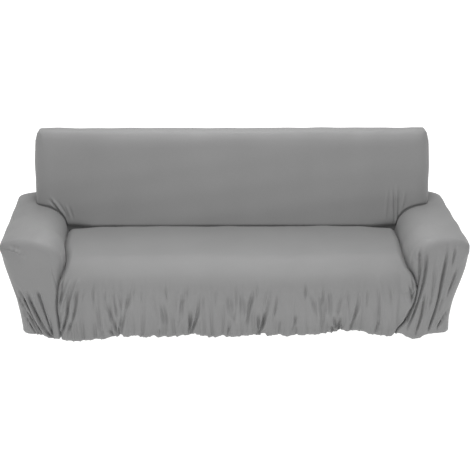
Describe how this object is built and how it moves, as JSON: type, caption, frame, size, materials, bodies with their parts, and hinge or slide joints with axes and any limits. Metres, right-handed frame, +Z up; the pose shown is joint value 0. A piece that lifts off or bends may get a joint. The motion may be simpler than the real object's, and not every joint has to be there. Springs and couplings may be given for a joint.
{
  "type": "stretch sofa slipcover",
  "caption": "Fitted grey stretch-jersey cover for a three-seat sofa with rounded arms, pulled over and gathered by its elastic hem.",
  "frame": {"origin": "middle of the cover's footprint, at the height of its lowest hem", "axes": "+X along the sofa to the right as seen from its front, +Y from the front apron to the back, +Z up"},
  "size_m": [2.2282, 0.9114, 0.86],
  "materials": {
    "jersey": "matt mid-grey stretch jersey with a very fine plain knit"
  },
  "bodies": {
    "root": {"seat_front": "jersey", "arm_left": "jersey", "arm_right": "jersey", "inside_back": "jersey", "outside_back": "jersey"}
  },
  "joints": []
}
